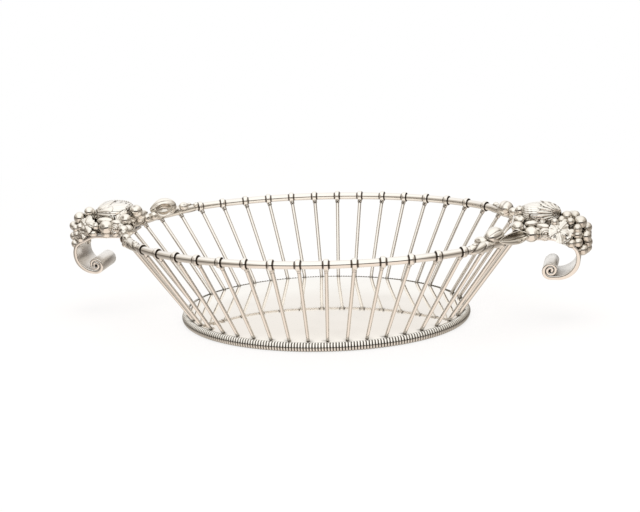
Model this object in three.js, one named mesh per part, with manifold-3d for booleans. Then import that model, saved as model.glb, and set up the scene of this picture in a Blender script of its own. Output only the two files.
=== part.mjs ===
import * as THREE from 'three';
import { mergeVertices } from 'three/addons/utils/BufferGeometryUtils.js';
import Module from 'manifold-3d';

// Openwork silver bread basket, in millimetres with +Z up.
// The origin lies on the table under the middle of the basket. X runs along it through both handles.
// Everything is soldered or cast in place, so nothing moves.

// Oval rim rod, over its centre line
const RIM_LENGTH = 300;
const RIM_WIDTH = 203;
const RIM_HEIGHT = 68.5;
const ROD_DIAMETER = 5.5;

// Leaning uprights and the collars that clasp the rod
const UPRIGHT_COUNT = 42;
const WIRE_DIAMETER = 2.7;
const COLLAR_LENGTH = 3.6;
const COLLAR_WALL = 1;
const COLLAR_ROUNDING = 0.55;
const SOCKET_DIAMETER = 3.5;
const SOCKET_DROP = 2.4;

// Reeded band round the foot, over its reeds
const FOOT_LENGTH = 220;
const FOOT_WIDTH = 168;
const BAND_HEIGHT = 5.8;
const BAND_DEPTH = 4;
const BAND_ROUNDING = 1.3;
const REED_COUNT = 288;
const REED_DEPTH = 0.8;

// Domed base plate
const PLATE_THICKNESS = 1.2;
const PLATE_LIP = 0.4;
const DOME_HEIGHT = 7.6;
const DOME_FULLNESS = 2.3;

// Scroll handle: a strap that leaves the rim level, bends down and back, and ends in a tight roll
const STRAP_WIDTH = 31.5;
const STRAP_THICKNESS = 2;
const STRAP_UNDER_RIM = 2.5;
const LEVEL_RUN = 19.2;
const SHOULDER = { radius: 16.4, turn: 25.5 };
const SLOPE_RUN = 9.8;
const OUTER_BEND = { radius: 6.8, turn: 46.5 };
const LOWER_BEND = { radius: 14.6, turn: 108 };
const RETURN_RUN = 4.5;
const ROLL_RADIUS = 5;
const ROLL_GAP = 0.8;
const ROLL_HALF_TURNS = 3;

// Fruit and leaves cast on the handle
const BED_WIDTH = 23;
const BED_THICKNESS = 6;
const BED_LIFT = 0.2;
const BED_START = 8;
const BED_LENGTH = 25;
const BED_END_SHARE = 0.4;
const BED_CROWN_SHARE = 0.6;
const BED_FULLNESS = 0.6;
const MELON_LENGTH = 27;
const MELON_DIAMETER = 17.5;
const MELON_RIBS = 10;
const MELON_RIB_DEPTH = 1.1;
const MELON_SINK = 1.4;
const MELON_AT = 15.5;
const MELON_FULLNESS = 0.7;

// Fluted fan leaf that closes over the melon's outer end, up to a share of the melon's length
const FAN_FLUTES = 12;
const FAN_FLUTE_DEPTH = 1.2;
const FAN_RISE = 0.8;
const FAN_REACH = 0.45;
const FAN_SCALLOP = 1.6;
const BLOSSOM_AT = 26;
const BLOSSOM_ACROSS = 10;
const BLOSSOM_RADIUS = 7;
const BLOSSOM_THICKNESS = 2.6;
const BLOSSOM_FACING = [0.3, 1, 1];
const PETALS = 5;
const PETAL_NOTCH = 0.4;
const BLOSSOM_HEART = 0.4;
const BLOSSOM_BACK = 0.6;

// Grapes over the outer bend: how many rows along the strap each group lies, and the layer it lies in
const GRAPE_DIAMETER = 8.6;
const GRAPE_SPACING = 7.1;
const GRAPE_LAYER = 0.85;
const GRAPES_START = 33;
const GRAPE_ROW_PITCH = 4.2;
const GRAPE_ROWS = [
  { row: -1, layer: 1.35, grapes: 3 },
  { row: 0, layer: 0, grapes: 3 },
  { row: 0.1, layer: 1, grapes: 3 },
  { row: 1, layer: 0, grapes: 2 },
  { row: 1.05, layer: 1.4, grapes: 2 },
  { row: 1.9, layer: 0.8, grapes: 3 },
  { row: 2, layer: 0, grapes: 2 },
  { row: 2.8, layer: 0, grapes: 3 },
];

// Plums that crown the end of the rim: places from its end and from the strap's top, and size, in plums
const PLUM_DIAMETER = 9;
const CROWN_PLUMS = [
  { out: -0.5, across: -0.33, over: 1.83, size: 1.04 },
  { out: -0.07, across: 0.06, over: 1.36, size: 0.98 },
  { out: -0.56, across: -1, over: 1.39, size: 0.93 },
];

// Leaf folded over the rod on each side of a handle: its reach in bays, its wall, and its fold in degrees
const GARLAND_START = 0.35;
const GARLAND_BAYS = 3.3;
const GARLAND_WALL = 1.5;
const GARLAND_TAPER = 0.45;
const LEAF_FOLD = [-5, 35, 75, 115, 155];
const LEAF_CREST = 90;

// Fruit on the folded leaves: bays from the handle, degrees round the rod from outside, and relative size
const FRUIT_DIAMETER = 10;
const FRONT_FRUIT = [
  { bays: 0.66, degrees: 5, size: 1 },
  { bays: 1.1, degrees: 120, size: 0.92 },
  { bays: 1.6, degrees: 105, size: 1.2 },
  { bays: 2.2, degrees: 85, size: 0.88 },
  { bays: 2.9, degrees: 95, size: 0.74 },
];
const BACK_FRUIT = [
  { bays: 0.7, degrees: 5, size: 1.08 },
  { bays: 1, degrees: 100, size: 0.88 },
  { bays: 1.62, degrees: 110, size: 1.06 },
  { bays: 2.15, degrees: 85, size: 0.84 },
];

// Gap between neighbours that are soldered together
const SEAT_GAP = 0.3;

// Facets
const STATIONS_PER_BAY = 2;
const ROD_SIDES = 8;
const WIRE_SIDES = 6;
const COLLAR_SIDES = 8;
const PLATE_SIDES = 42;
const DOME_STEPS = 4;
const BEND_STEP = THREE.MathUtils.degToRad(26);
const BALL_SIDES = 6;
const BALL_RINGS = 4;
const BED_STEPS = 5;
const MELON_STEPS = 8;
const FAN_STEPS = 3;
const GARLAND_STEPS = 6;
const OVAL_DIVISIONS = 2000;
const WELD = 1e-4;

// Sizes that follow from the ones above
const ROD_RADIUS = ROD_DIAMETER / 2;
const COLLAR_RADIUS = ROD_RADIUS + COLLAR_WALL;
const OPENING_LENGTH = FOOT_LENGTH - 2 * BAND_DEPTH;
const OPENING_WIDTH = FOOT_WIDTH - 2 * BAND_DEPTH;
const PLATE_LENGTH = OPENING_LENGTH - 2 * SEAT_GAP;
const PLATE_WIDTH = OPENING_WIDTH - 2 * SEAT_GAP;
const PLATE_EDGE_TOP = BAND_HEIGHT + PLATE_LIP;
const GARLAND_BORE = COLLAR_RADIUS + 2 * SEAT_GAP;
const STRAP_TOP = RIM_HEIGHT - ROD_RADIUS - SEAT_GAP;
const UP = new THREE.Vector3(0, 0, 1);

const wasm = await Module();
wasm.setup();

function vector(x, y, z) {
  return new THREE.Vector3(x, y, z);
}

/** Turns a closed geometry into a solid that can be joined and cut. */
function solidOf(geometry) {
  const bare = geometry.clone();
  bare.deleteAttribute('normal');
  bare.deleteAttribute('uv');
  const merged = mergeVertices(bare, WELD);
  const corners = merged.index.array;
  const kept = [];
  for (let i = 0; i < corners.length; i += 3) {
    const [a, b, c] = [corners[i], corners[i + 1], corners[i + 2]];
    if (a !== b && b !== c && c !== a) kept.push(a, b, c);
  }
  return new wasm.Manifold(new wasm.Mesh({
    numProp: 3,
    vertProperties: Float32Array.from(merged.attributes.position.array),
    triVerts: Uint32Array.from(kept),
  }));
}

function geometryOf(solid) {
  const mesh = solid.getMesh();
  const geometry = new THREE.BufferGeometry();
  geometry.setAttribute('position', new THREE.BufferAttribute(mesh.vertProperties, 3));
  geometry.setIndex(new THREE.BufferAttribute(mesh.triVerts, 1));
  geometry.computeVertexNormals();
  return geometry;
}

function joined(solids) {
  return solids.reduce((whole, solid) => whole.add(solid));
}

/** The piece itself, without any crumb that a cut leaves beside it. */
function mainBody(solid) {
  return solid.decompose().reduce((a, b) => (a.volume() > b.volume() ? a : b));
}

/** Turns a geometry's faces outwards if they all point in. */
function facedOut(geometry) {
  const position = geometry.attributes.position;
  const index = geometry.index.array;
  const corner = [vector(), vector(), vector()];
  let volume = 0;
  for (let i = 0; i < index.length; i += 3) {
    corner.forEach((point, k) => point.fromBufferAttribute(position, index[i + k]));
    volume += corner[0].dot(corner[1].clone().cross(corner[2]));
  }
  if (volume < 0) geometry.setIndex([...index].reverse());
  return geometry;
}

/** Triangles that fill one flat ring, facing the way that its points run round. */
function filled(ring) {
  const normal = vector(0, 0, 0);
  ring.forEach((point, i) => normal.add(point.clone().cross(ring[(i + 1) % ring.length])));
  const flatten = new THREE.Quaternion().setFromUnitVectors(normal.normalize(), UP);
  const flat = ring.map((point) => point.clone().applyQuaternion(flatten));
  return THREE.ShapeUtils.triangulateShape(flat.map(({ x, y }) => new THREE.Vector2(x, y)), []);
}

/** Triangles from a ring's first point to each edge of the rest. */
function fanned(ring) {
  return Array.from({ length: ring.length - 2 }, (_, i) => [0, i + 1, i + 2]);
}

/** Skins a row of rings with equal point counts, and fills its two ends unless it closes on itself. */
function loft(rings, fillEnd = filled) {
  const count = rings[0].length;
  const triangles = [];
  const spans = fillEnd ? rings.length - 1 : rings.length;
  for (let i = 0; i < spans; i++) {
    const here = i * count;
    const next = ((i + 1) % rings.length) * count;
    for (let j = 0; j < count; j++) {
      const k = (j + 1) % count;
      triangles.push(here + j, here + k, next + k, here + j, next + k, next + j);
    }
  }
  if (fillEnd) {
    const end = (rings.length - 1) * count;
    for (const [a, b, c] of fillEnd(rings[0])) triangles.push(c, b, a);
    for (const [a, b, c] of fillEnd(rings.at(-1))) triangles.push(end + a, end + b, end + c);
  }
  const geometry = new THREE.BufferGeometry().setFromPoints(rings.flat());
  geometry.setIndex(triangles);
  return facedOut(geometry);
}

/** An oval whose places are spaced by the length along it, from the +X end towards +Y. */
function oval(length, width) {
  const curve = new THREE.EllipseCurve(0, 0, length / 2, width / 2);
  curve.arcLengthDivisions = OVAL_DIVISIONS;
  return curve;
}

/** Point and outward direction at a share of the way round an oval. */
function placeOn(curve, share) {
  const turn = share - Math.floor(share);
  const point = curve.getPointAt(turn);
  const tangent = curve.getTangentAt(turn);
  return { point, outward: new THREE.Vector2(tangent.y, -tangent.x) };
}

const rimOval = oval(RIM_LENGTH, RIM_WIDTH);
const footInset = WIRE_DIAMETER / 2 + SEAT_GAP;
const feetOval = oval(OPENING_LENGTH - 2 * footInset, OPENING_WIDTH - 2 * footInset);

/** A ring of points in the upright plane across the rim, given as [out, up] from the rod's centre. */
function rimSection(share, offsets) {
  const { point, outward } = placeOn(rimOval, share);
  return offsets.map(([out, up]) => vector(
    point.x + outward.x * out,
    point.y + outward.y * out,
    RIM_HEIGHT + up,
  ));
}

function circleOffsets(radius, sides) {
  return Array.from({ length: sides }, (_, i) => {
    const angle = ((i + 0.5) / sides) * 2 * Math.PI;
    return [radius * Math.cos(angle), radius * Math.sin(angle)];
  });
}

function rimRod(grow = 0) {
  const stations = UPRIGHT_COUNT * STATIONS_PER_BAY;
  const offsets = circleOffsets(ROD_RADIUS + grow, ROD_SIDES);
  const rings = Array.from({ length: stations }, (_, i) => rimSection(i / stations, offsets));
  return loft(rings, null);
}

/** Height of the plate's upper face over a point of the table. */
function plateTop(x, y) {
  const reach = Math.hypot(x / (PLATE_LENGTH / 2), y / (PLATE_WIDTH / 2));
  return PLATE_EDGE_TOP + DOME_HEIGHT * (1 - Math.min(reach, 1) ** DOME_FULLNESS);
}

/** The plate bulges up in the middle, so it rests only on its edge inside the band. */
function basePlate() {
  const top = [];
  const under = [];
  for (let i = 0; i <= DOME_STEPS; i++) {
    const reach = i / DOME_STEPS;
    const height = plateTop(reach * PLATE_LENGTH / 2, 0);
    top.unshift(new THREE.Vector2(reach, height));
    under.push(new THREE.Vector2(reach, height - PLATE_THICKNESS));
  }
  const dome = new THREE.LatheGeometry([...under, ...top], PLATE_SIDES);
  dome.rotateX(Math.PI / 2);
  dome.scale(PLATE_LENGTH / 2, PLATE_WIDTH / 2, 1);
  return geometryOf(solidOf(dome));
}

/** Points round the band's outer oval, set in from it by turns: crest, groove, crest, and so on. */
function bandOutline(count, crestInset, grooveInset) {
  const outer = oval(FOOT_LENGTH, FOOT_WIDTH);
  return Array.from({ length: count }, (_, i) => {
    const { point, outward } = placeOn(outer, i / count);
    return point.addScaledVector(outward, i % 2 ? -grooveInset : -crestInset);
  });
}

/** The band swells at half its height. Each reed stands out there and fades at the top and the bottom. */
function reededBand() {
  const crests = bandOutline(REED_COUNT, BAND_ROUNDING, BAND_ROUNDING);
  const waist = bandOutline(REED_COUNT * 2, 0, REED_DEPTH);
  const opening = oval(OPENING_LENGTH, OPENING_WIDTH);
  const stations = UPRIGHT_COUNT * STATIONS_PER_BAY;
  const hole = Array.from({ length: stations }, (_, i) => placeOn(opening, i / stations).point);
  const raise = (points, height) => points.map((p) => vector(p.x, p.y, height));
  const positions = [
    ...raise(crests, 0),
    ...raise(crests, BAND_HEIGHT),
    ...raise(waist, BAND_HEIGHT / 2),
    ...raise(hole, 0),
    ...raise(hole, BAND_HEIGHT),
  ];
  const top = REED_COUNT;
  const middle = 2 * REED_COUNT;
  const holeFoot = 4 * REED_COUNT;
  const holeTop = holeFoot + stations;
  const triangles = [];
  for (let i = 0; i < REED_COUNT; i++) {
    const next = (i + 1) % REED_COUNT;
    const crest = middle + 2 * i;
    const groove = crest + 1;
    const nextCrest = middle + 2 * next;
    triangles.push(crest, groove, top + i, groove, top + next, top + i, groove, nextCrest, top + next);
    triangles.push(groove, crest, i, groove, i, next, nextCrest, groove, next);
  }
  for (let i = 0; i < stations; i++) {
    const next = (i + 1) % stations;
    triangles.push(holeTop + i, holeTop + next, holeFoot + next);
    triangles.push(holeTop + i, holeFoot + next, holeFoot + i);
  }
  for (const face of THREE.ShapeUtils.triangulateShape(crests, [hole])) {
    const [a, b, c] = face.map((i) => (i < REED_COUNT ? i : holeFoot + i - REED_COUNT));
    const [d, e, f] = face.map((i) => (i < REED_COUNT ? top + i : holeTop + i - REED_COUNT));
    triangles.push(c, b, a, d, e, f);
  }
  const geometry = new THREE.BufferGeometry().setFromPoints(positions);
  geometry.setIndex(triangles);
  return facedOut(geometry);
}

/** Frame of one upright: origin on the rod's centre line, X outwards, Y along the rim, Z up. */
function uprightFrame(number) {
  const share = number / UPRIGHT_COUNT;
  const rim = placeOn(rimOval, share);
  const foot = placeOn(feetOval, share).point;
  const angle = Math.atan2(rim.outward.y, rim.outward.x);
  const footHeight = plateTop(foot.x, foot.y) + SEAT_GAP;
  const origin = vector(rim.point.x, rim.point.y, RIM_HEIGHT);
  const toFoot = vector(foot.x, foot.y, footHeight).sub(origin).applyAxisAngle(UP, -angle);
  return { origin, angle, toFoot };
}

/** A round bar down the lean of an upright, given its radius at each height, with level ends. */
function leaningBar(toFoot, radii) {
  const lean = vector(toFoot.x, toFoot.y, 0).normalize();
  const across = vector(-lean.y, lean.x, 0);
  const stretch = toFoot.length() / Math.abs(toFoot.z);
  const ring = (height, radius) => circleOffsets(radius, WIRE_SIDES).map(([along, side]) => (
    toFoot.clone().multiplyScalar(height / toFoot.z)
      .addScaledVector(lean, along * stretch)
      .addScaledVector(across, side)
  ));
  return solidOf(loft(radii.map(([height, radius]) => ring(height, radius))));
}

/** One upright with its socket and the collar that is closed round the rod. */
function uprightSolid({ toFoot }, grow = 0) {
  const half = COLLAR_LENGTH / 2 + grow;
  const crown = COLLAR_RADIUS + grow;
  const shoulder = crown - COLLAR_ROUNDING;
  const bead = new THREE.LatheGeometry([
    new THREE.Vector2(0, -half),
    new THREE.Vector2(shoulder, -half),
    new THREE.Vector2(crown, 0),
    new THREE.Vector2(shoulder, half),
    new THREE.Vector2(0, half),
  ], COLLAR_SIDES);
  const wireRadius = WIRE_DIAMETER / 2 + grow;
  const socketRadius = SOCKET_DIAMETER / 2 + grow;
  const socketEnd = -ROD_RADIUS - SOCKET_DROP;
  const whole = joined([
    solidOf(bead),
    leaningBar(toFoot, [[toFoot.z, wireRadius], [socketEnd, wireRadius], [0, socketRadius]]),
  ]);
  if (grow > 0) return whole;
  const bore = (ROD_RADIUS + SEAT_GAP) / Math.cos(Math.PI / COLLAR_SIDES);
  const passage = new THREE.CylinderGeometry(bore, bore, 2 * COLLAR_LENGTH, COLLAR_SIDES);
  return whole.subtract(solidOf(passage));
}

/** The strap's centre line as points with their headings, walked from the rim to the heart of the roll. */
function scrollPath() {
  const legs = [
    { run: STRAP_UNDER_RIM + LEVEL_RUN },
    SHOULDER,
    { run: SLOPE_RUN },
    OUTER_BEND,
    LOWER_BEND,
    { run: RETURN_RUN },
  ];
  for (let i = 0; i < ROLL_HALF_TURNS; i++) {
    legs.push({ radius: ROLL_RADIUS - i * (STRAP_THICKNESS + ROLL_GAP) / 2, turn: 180 });
  }
  const at = new THREE.Vector2(RIM_LENGTH / 2 - STRAP_UNDER_RIM, STRAP_TOP - STRAP_THICKNESS / 2);
  const path = [{ point: at.clone(), heading: 0, travelled: 0 }];
  let heading = 0;
  let travelled = 0;
  const stepOn = (distance, turn) => {
    const middle = heading - turn / 2;
    at.x += distance * Math.cos(middle);
    at.y += distance * Math.sin(middle);
    heading -= turn;
    travelled += distance;
    path.push({ point: at.clone(), heading, travelled });
  };
  for (const { run, radius, turn } of legs) {
    if (run) stepOn(run, 0);
    if (!radius) continue;
    const whole = THREE.MathUtils.degToRad(turn);
    const steps = Math.ceil(whole / BEND_STEP);
    const part = whole / steps;
    for (let i = 0; i < steps; i++) stepOn(2 * radius * Math.sin(part / 2), part);
  }
  return path;
}

/** Point beside the strap's centre line, on the side that carries the fruit. */
function besideStrap({ point, heading }, distance) {
  return new THREE.Vector2(
    point.x - Math.sin(heading) * distance,
    point.y + Math.cos(heading) * distance,
  );
}

/** A place on the strap's fruit side: travelled along it, over its face, and the directions there. */
function onStrap(travelled, over = 0, across = 0) {
  const path = scrollPath();
  const next = path.findIndex((place) => place.travelled >= travelled);
  const [from, to] = [path[next - 1], path[next]];
  const share = (travelled - from.travelled) / (to.travelled - from.travelled);
  const height = STRAP_THICKNESS / 2 + SEAT_GAP + over;
  const seat = besideStrap(from, height).lerp(besideStrap(to, height), share);
  const heading = from.heading + (to.heading - from.heading) * share;
  return {
    place: vector(seat.x, across, seat.y),
    along: vector(Math.cos(heading), 0, Math.sin(heading)),
    rise: vector(-Math.sin(heading), 0, Math.cos(heading)),
  };
}

/** The strap is one ribbon of even thickness, drawn edge on and given its width across the handle. */
function strap(grow) {
  const path = scrollPath();
  const half = STRAP_THICKNESS / 2 + grow;
  const upper = path.map((place) => besideStrap(place, half));
  const lower = path.map((place) => besideStrap(place, -half)).reverse();
  const width = STRAP_WIDTH + 2 * grow;
  const ribbon = new THREE.ExtrudeGeometry(new THREE.Shape([...upper, ...lower]), {
    depth: width,
    bevelEnabled: false,
  });
  ribbon.rotateX(Math.PI / 2);
  ribbon.translate(0, width / 2, 0);
  return solidOf(ribbon);
}

function ball(centre, radius) {
  const geometry = new THREE.SphereGeometry(radius, BALL_SIDES, BALL_RINGS);
  geometry.rotateX(Math.PI / 2);
  geometry.translate(centre.x, centre.y, centre.z);
  return solidOf(geometry);
}

/** A bed of vine leaves on the strap, tapered at both ends. */
function leafBed(grow) {
  const rings = [];
  for (let i = 0; i <= BED_STEPS; i++) {
    const { place, rise } = onStrap(BED_START + BED_LENGTH * (i / BED_STEPS), BED_LIFT);
    const bulge = Math.sin(Math.PI * (i / BED_STEPS)) ** BED_FULLNESS;
    const swell = BED_END_SHARE + (1 - BED_END_SHARE) * bulge;
    const half = (BED_WIDTH / 2) * swell + grow;
    const thick = BED_THICKNESS * swell + grow;
    const corners = [[-1, 0], [1, 0], [BED_CROWN_SHARE, 1], [-BED_CROWN_SHARE, 1]];
    rings.push(corners.map(([across, up]) => (
      place.clone().addScaledVector(rise, up * thick).add(vector(0, across * half, 0))
    )));
  }
  return solidOf(loft(rings));
}

/** A ring round the melon's long axis: `angle` runs from its inner end at 0 to its outer end at PI. */
function melonRing(angle, { folds, rise, depth, edge = 0, scallop = 0 }) {
  const { place } = onStrap(MELON_AT, BED_THICKNESS + MELON_DIAMETER / 2 - MELON_SINK);
  const girth = Math.sin(angle) ** MELON_FULLNESS;
  return Array.from({ length: folds * 2 }, (_, j) => {
    const round = ((j + 0.5) / (folds * 2)) * 2 * Math.PI;
    const along = -Math.cos(angle) * (MELON_LENGTH / 2 + rise) + edge + (j % 2) * scallop;
    const radius = (MELON_DIAMETER / 2 - (j % 2) * depth + rise) * girth;
    return place.clone().add(vector(along, radius * Math.cos(round), radius * Math.sin(round)));
  });
}

/** The fan leaf cups the melon's outer end. Its flutes run out to a scalloped edge. */
function fanLeaf(grow) {
  const rings = [];
  for (let i = 0; i < FAN_STEPS; i++) {
    const angle = Math.PI * (1 - FAN_REACH * (1 - i / FAN_STEPS));
    const flutes = { folds: FAN_FLUTES, rise: FAN_RISE + grow, depth: FAN_FLUTE_DEPTH };
    rings.push(melonRing(angle, i === 0 ? { ...flutes, edge: -2 * grow, scallop: FAN_SCALLOP } : flutes));
  }
  return solidOf(loft(rings));
}

/** An open blossom beside the fan: a disc of petals with notches between them, raised in the middle. */
function blossom(side, grow) {
  const { place } = onStrap(BLOSSOM_AT, BED_THICKNESS / 2, side * BLOSSOM_ACROSS);
  const [out, across, up] = BLOSSOM_FACING;
  const facing = vector(out, side * across, up).normalize();
  const turn = new THREE.Quaternion().setFromUnitVectors(UP, facing);
  const outline = (radius, height) => Array.from({ length: PETALS * 2 }, (_, i) => {
    const angle = (i / (PETALS * 2)) * 2 * Math.PI;
    const reach = (radius + grow) * (i % 2 ? 1 : 1 - PETAL_NOTCH);
    const point = vector(reach * Math.cos(angle), reach * Math.sin(angle), height);
    return point.applyQuaternion(turn).add(place);
  });
  return solidOf(loft([
    outline(BLOSSOM_RADIUS * BLOSSOM_BACK, -BLOSSOM_THICKNESS / 2 - grow),
    outline(BLOSSOM_RADIUS, 0),
    outline(BLOSSOM_RADIUS * BLOSSOM_HEART, BLOSSOM_THICKNESS / 2 + grow),
  ]));
}

function vineLeaves(grow) {
  return joined([leafBed(grow), fanLeaf(grow), blossom(-1, grow), blossom(1, grow)]);
}

/** A melon lying along the handle, with ribs from end to end, sunk a little into the leaves. */
function melon(grow) {
  const rings = [];
  for (let i = 1; i < MELON_STEPS; i++) {
    const ribs = { folds: MELON_RIBS, rise: grow, depth: MELON_RIB_DEPTH };
    rings.push(melonRing((i / MELON_STEPS) * Math.PI, ribs));
  }
  return solidOf(loft(rings));
}

function grapeBunch(grow) {
  const radius = GRAPE_DIAMETER / 2;
  return joined(GRAPE_ROWS.flatMap(({ row, layer, grapes }) => (
    Array.from({ length: grapes }, (_, i) => {
      const travelled = GRAPES_START + row * GRAPE_ROW_PITCH;
      const across = (i - (grapes - 1) / 2) * GRAPE_SPACING;
      const { place } = onStrap(travelled, radius + layer * GRAPE_LAYER * GRAPE_DIAMETER, across);
      return ball(place, radius + grow);
    })
  )));
}

function crownPlums(grow) {
  return joined(CROWN_PLUMS.map(({ out, across, over, size }) => {
    const offset = vector(out, across, over).multiplyScalar(PLUM_DIAMETER);
    return ball(vector(RIM_LENGTH / 2, 0, STRAP_TOP).add(offset), size * PLUM_DIAMETER / 2 + grow);
  }));
}

/** A leaf folded over the rod, from the handle along the rim. It clears the collars below it. */
function garlandLeaf(side, grow) {
  const inner = GARLAND_BORE - grow;
  const outer = GARLAND_BORE + GARLAND_WALL + grow;
  const rings = [];
  for (let i = 0; i <= GARLAND_STEPS; i++) {
    const share = i / GARLAND_STEPS;
    const bays = GARLAND_START + (GARLAND_BAYS - GARLAND_START) * share;
    const reach = 1 - GARLAND_TAPER * share ** 2;
    const arc = (radius) => LEAF_FOLD.map((degrees) => {
      const bent = THREE.MathUtils.degToRad(LEAF_CREST + (degrees - LEAF_CREST) * reach);
      return [radius * Math.cos(bent), radius * Math.sin(bent)];
    });
    rings.push(rimSection(side * bays / UPRIGHT_COUNT, [...arc(outer), ...arc(inner).reverse()]));
  }
  return solidOf(loft(rings));
}

/** A folded leaf with its fruit set on it. */
function garland(side, fruit, grow) {
  const balls = fruit.map(({ bays, degrees, size }) => {
    const diameter = size * FRUIT_DIAMETER;
    const angle = THREE.MathUtils.degToRad(degrees);
    const distance = GARLAND_BORE + (GARLAND_WALL + diameter) / 2;
    const offset = [distance * Math.cos(angle), distance * Math.sin(angle)];
    const [centre] = rimSection(side * bays / UPRIGHT_COUNT, [offset]);
    return ball(centre, diameter / 2 + grow);
  });
  return joined([garlandLeaf(side, grow), ...balls]);
}

const HANDLE_PIECES = {
  scroll_strap: strap,
  vine_leaves: vineLeaves,
  ribbed_melon: melon,
  grape_bunch: grapeBunch,
  front_garland: (grow) => garland(-1, FRONT_FRUIT, grow),
  back_garland: (grow) => garland(1, BACK_FRUIT, grow),
  crown_plums: crownPlums,
};

/** The rod and the nearest uprights, with the gap that the handle's castings keep to them. */
function rimClearance() {
  const reach = Math.ceil(GARLAND_BAYS);
  const solids = [solidOf(rimRod(SEAT_GAP))];
  for (let number = -reach; number <= reach; number++) {
    const frame = uprightFrame(number);
    const placed = uprightSolid(frame, SEAT_GAP).rotate([0, 0, THREE.MathUtils.radToDeg(frame.angle)]);
    solids.push(placed.translate(frame.origin.toArray()));
  }
  return joined(solids);
}

/** Cuts each piece of a handle to sit against the rim and the pieces before it. */
function fittedHandle() {
  const taken = [rimClearance()];
  return Object.entries(HANDLE_PIECES).map(([name, shape]) => {
    const fitted = taken.reduce((solid, neighbour) => solid.subtract(neighbour), shape(0));
    taken.push(shape(SEAT_GAP));
    return { name, geometry: geometryOf(mainBody(fitted)) };
  });
}

function silver() {
  return new THREE.MeshStandardMaterial({ color: 0xdcd6cc, roughness: 0.16, metalness: 1 });
}

function part(name, geometry) {
  const mesh = new THREE.Mesh(geometry, silver());
  mesh.name = name;
  return mesh;
}

const basket = new THREE.Group();
basket.add(part('rim_rod', rimRod()));
basket.add(part('base_plate', basePlate()));
basket.add(part('reeded_foot_band', reededBand()));

for (let number = 0; number < UPRIGHT_COUNT; number++) {
  const frame = uprightFrame(number);
  const label = String(number + 1).padStart(2, '0');
  const upright = part(`upright_${label}`, geometryOf(uprightSolid(frame)));
  upright.position.copy(frame.origin);
  upright.rotation.z = frame.angle;
  basket.add(upright);
}

const handlePieces = fittedHandle();
for (const [side, turn] of [['right', 0], ['left', Math.PI]]) {
  const handle = new THREE.Group();
  for (const { name, geometry } of handlePieces) handle.add(part(`${side}_${name}`, geometry));
  handle.rotation.z = turn;
  basket.add(handle);
}

export default basket;
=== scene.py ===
import math
from bisect import bisect_right

import bmesh
import bpy
from mathutils import Matrix, Vector
from mathutils.bvhtree import BVHTree


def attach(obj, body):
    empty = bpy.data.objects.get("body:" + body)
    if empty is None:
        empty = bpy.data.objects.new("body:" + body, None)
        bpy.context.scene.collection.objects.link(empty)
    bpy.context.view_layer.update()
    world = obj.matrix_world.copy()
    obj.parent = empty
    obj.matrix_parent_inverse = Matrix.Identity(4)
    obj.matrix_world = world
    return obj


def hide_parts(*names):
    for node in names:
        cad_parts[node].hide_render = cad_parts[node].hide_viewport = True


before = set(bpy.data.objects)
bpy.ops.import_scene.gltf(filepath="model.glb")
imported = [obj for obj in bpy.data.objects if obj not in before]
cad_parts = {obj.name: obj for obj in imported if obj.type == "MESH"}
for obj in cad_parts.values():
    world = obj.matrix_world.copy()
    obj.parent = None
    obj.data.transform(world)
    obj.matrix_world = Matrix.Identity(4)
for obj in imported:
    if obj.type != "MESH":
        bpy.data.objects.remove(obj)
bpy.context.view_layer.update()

# Openwork silver bread basket. Shapes are worked out in millimetres in the part's own frame:
# the table is z = 0, X runs through both handles, and each finished mesh is brought to metres.
# Both handles are drawn at the +X end, as u (outwards), v (across) and z (up). The left one is
# then turned by half a turn. A handle's front is its -v side and its back is its +v side.

METRE = 0.001
UP = Vector((0, 0, 1))

RIM_LENGTH, RIM_WIDTH, RIM_HEIGHT = 300, 203, 68.5
ROD_RADIUS = 2.75

UPRIGHTS = 42
WIRE_RADIUS = 1.35
SOCKET_RADIUS, SOCKET_DROP = 1.72, 2.4
COLLAR_RADIUS, COLLAR_HALF = 3.72, 1.8
COLLAR_STRETCH = 1.08

FOOT_LENGTH, FOOT_WIDTH = 220, 168
BAND_DEPTH = 4
REEDS, REED_DEPTH = 288, 0.8
SEAT = 0.3
PLATE_THICKNESS = 1.2
PLATE_EDGE_TOP = 6.2
DOME_HEIGHT, DOME_FULLNESS = 7.6, 2.3

STRAP_WIDTH, STRAP_THICKNESS = 31.5, 2
STRAP_ROUNDING = 0.5
STRAP_UNDER_RIM = 2.5
ROLL_STARTS = 74


class Oval:
    """An oval walked at an even pace, from its +X end towards +Y."""

    STEPS = 4000

    def __init__(self, length, width):
        self.half = (length / 2, width / 2)
        self.marks = [0.0]
        for i in range(self.STEPS):
            step = self._at(i + 1) - self._at(i)
            self.marks.append(self.marks[-1] + step.length)

    def _at(self, step):
        angle = 2 * math.pi * step / self.STEPS
        return Vector((self.half[0] * math.cos(angle), self.half[1] * math.sin(angle), 0))

    def place(self, share):
        """Point and outward direction at a share of the way round."""
        goal = (share % 1) * self.marks[-1]
        low = min(bisect_right(self.marks, goal), self.STEPS) - 1
        part = (goal - self.marks[low]) / (self.marks[low + 1] - self.marks[low])
        angle = 2 * math.pi * (low + part) / self.STEPS
        outward = Vector((math.cos(angle) / self.half[0], math.sin(angle) / self.half[1], 0))
        return self._at(low + part), outward.normalized()


BAND_OPENING = (FOOT_LENGTH - 2 * BAND_DEPTH, FOOT_WIDTH - 2 * BAND_DEPTH)
PLATE_HALF = [(across - 2 * SEAT) / 2 for across in BAND_OPENING]
rim_oval = Oval(RIM_LENGTH, RIM_WIDTH)
band_oval = Oval(FOOT_LENGTH, FOOT_WIDTH)
feet_oval = Oval(*[across - 2 * (WIRE_RADIUS + SEAT) for across in BAND_OPENING])
RIM_BAY = rim_oval.marks[-1] / UPRIGHTS


# ---- shapes ----

def blank():
    """An empty form whose points can carry tarnish and painted shade, from 0 to 1."""
    bm = bmesh.new()
    bm.verts.layers.float.new("tarnish_and_shade")
    return bm


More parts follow.
